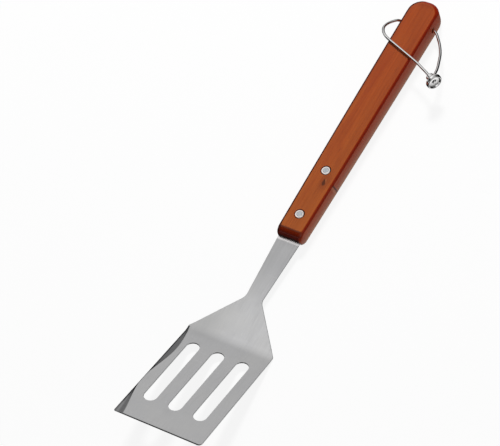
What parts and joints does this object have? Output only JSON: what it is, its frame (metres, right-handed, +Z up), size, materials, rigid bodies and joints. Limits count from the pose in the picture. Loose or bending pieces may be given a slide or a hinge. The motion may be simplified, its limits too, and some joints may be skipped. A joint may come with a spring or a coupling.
{
  "type": "grill spatula",
  "caption": "Long-handled grill spatula: slotted, heel-bent steel blade with a ground side edge, riveted hardwood handle and a wire hanging ring.",
  "frame": {"origin": "on the flat back of the handle, on its centre line, 120 mm from the handle's blade-side end", "axes": "+Y along the handle from the blade towards the hanging ring, +Z up out of the handle's front face, +X across to the right; the handle's back and the blade's heel lie in Z = 0"},
  "size_m": [0.085, 0.4341, 0.0313],
  "materials": {
    "blade_steel": "fine satin stainless sheet, ground bright along one side edge",
    "handle_wood": "red-brown hardwood with fine straight grain under a clear gloss lacquer",
    "rivet_metal": "lightly domed cutlery rivets, satin",
    "ring_chrome": "bright plated wire and cap"
  },
  "bodies": {
    "root": {"blade": "blade_steel", "handle": "handle_wood", "rivet_pin_1": "rivet_metal", "rivet_pin_2": "rivet_metal", "rivet_socket_1": "rivet_metal", "rivet_socket_2": "rivet_metal"},
    "hanging_ring": {"ring_wire": "ring_chrome", "ring_cap": "ring_chrome"}
  },
  "joints": [
    {"name": "ring_swing", "type": "hinge", "parent": "root", "child": "hanging_ring", "pos_m": [0, 0.0986, 0.00902], "axis": [-1, 0, 0], "range_deg": [0, 290]}
  ]
}
